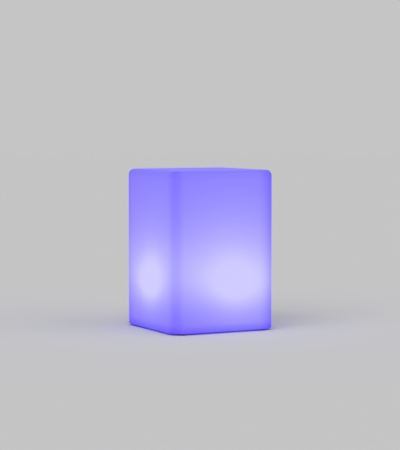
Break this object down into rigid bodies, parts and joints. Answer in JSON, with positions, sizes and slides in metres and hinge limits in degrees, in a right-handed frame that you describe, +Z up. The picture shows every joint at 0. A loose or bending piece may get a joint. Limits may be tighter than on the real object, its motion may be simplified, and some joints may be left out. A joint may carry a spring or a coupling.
{
  "type": "portable table lamp",
  "caption": "Cordless outdoor table lamp: a square, round-edged translucent prism lit from below by a sealed, rechargeable light module with a push button and a flap-covered charging port.",
  "frame": {"origin": "on the table, under the middle of the lamp", "axes": "+Z up, the front face looks along -Y, the sides are along X and Y"},
  "size_m": [0.1, 0.1, 0.14],
  "materials": {
    "glowing_polyethylene": "satin moulded surface, lit violet from inside",
    "foot_silicone": "matt",
    "seal_silicone": "matt",
    "flap_silicone": "matt",
    "brass": "machined",
    "white_moulding": "fine spark texture",
    "button_plastic": "satin",
    "stainless_steel": "bright",
    "nickel_steel": "plated",
    "black_plastic": "matt",
    "led_package": "gloss",
    "clear_plastic": "polished",
    "green_board": "solder mask",
    "white_board": "solder mask on aluminium",
    "cell_sleeve": "shrunk film",
    "foam": "open foam",
    "connector_plastic": "matt",
    "red_insulation": "smooth",
    "black_insulation": "smooth",
    "white_insulation": "smooth",
    "reflector_sheet": "matt white",
    "frosted_plastic": "frosted"
  },
  "bodies": {
    "lamp": {"shade_shell": "glowing_polyethylene", "foot_pads": "foot_silicone", "insert_nuts": "brass", "base_gasket": "seal_silicone", "base_cover": "white_moulding", "base_screws": "stainless_steel", "cover_gasket": "seal_silicone", "push_switch": "black_plastic", "charge_socket": "nickel_steel", "charge_tongue": "black_plastic", "charge_led": "led_package", "charge_light_pipe": "clear_plastic", "control_board": "green_board", "control_chips": "black_plastic", "board_screws": "stainless_steel", "battery_cell": "nickel_steel", "battery_sleeve": "cell_sleeve", "battery_tabs": "nickel_steel", "battery_pad": "foam", "battery_clamp": "white_moulding", "clamp_screws": "stainless_steel", "battery_connector": "connector_plastic", "battery_lead_red": "red_insulation", "battery_lead_black": "black_insulation", "led_connector": "connector_plastic", "led_leads": "white_insulation", "module_housing": "white_moulding", "dome_seal": "seal_silicone", "led_board": "white_board", "led_chips": "led_package", "led_reflector": "reflector_sheet", "led_screws": "stainless_steel", "light_dome": "frosted_plastic"},
    "power_button": {"power_button": "button_plastic", "button_o_ring": "seal_silicone", "switch_plunger": "black_plastic"},
    "port_flap": {"port_flap": "flap_silicone"}
  },
  "joints": [
    {"name": "button_press", "type": "slide", "parent": "lamp", "child": "power_button", "axis": [0, 0, 1], "range_m": [0, 0.0006], "stiffness_N_per_m": 2000},
    {"name": "flap_swing", "type": "hinge", "parent": "lamp", "child": "port_flap", "pos_m": [0.012, 0.01, 0.0032], "axis": [1, 0, 0], "range_deg": [0, 100], "stiffness_Nm_per_rad": 0.006}
  ]
}
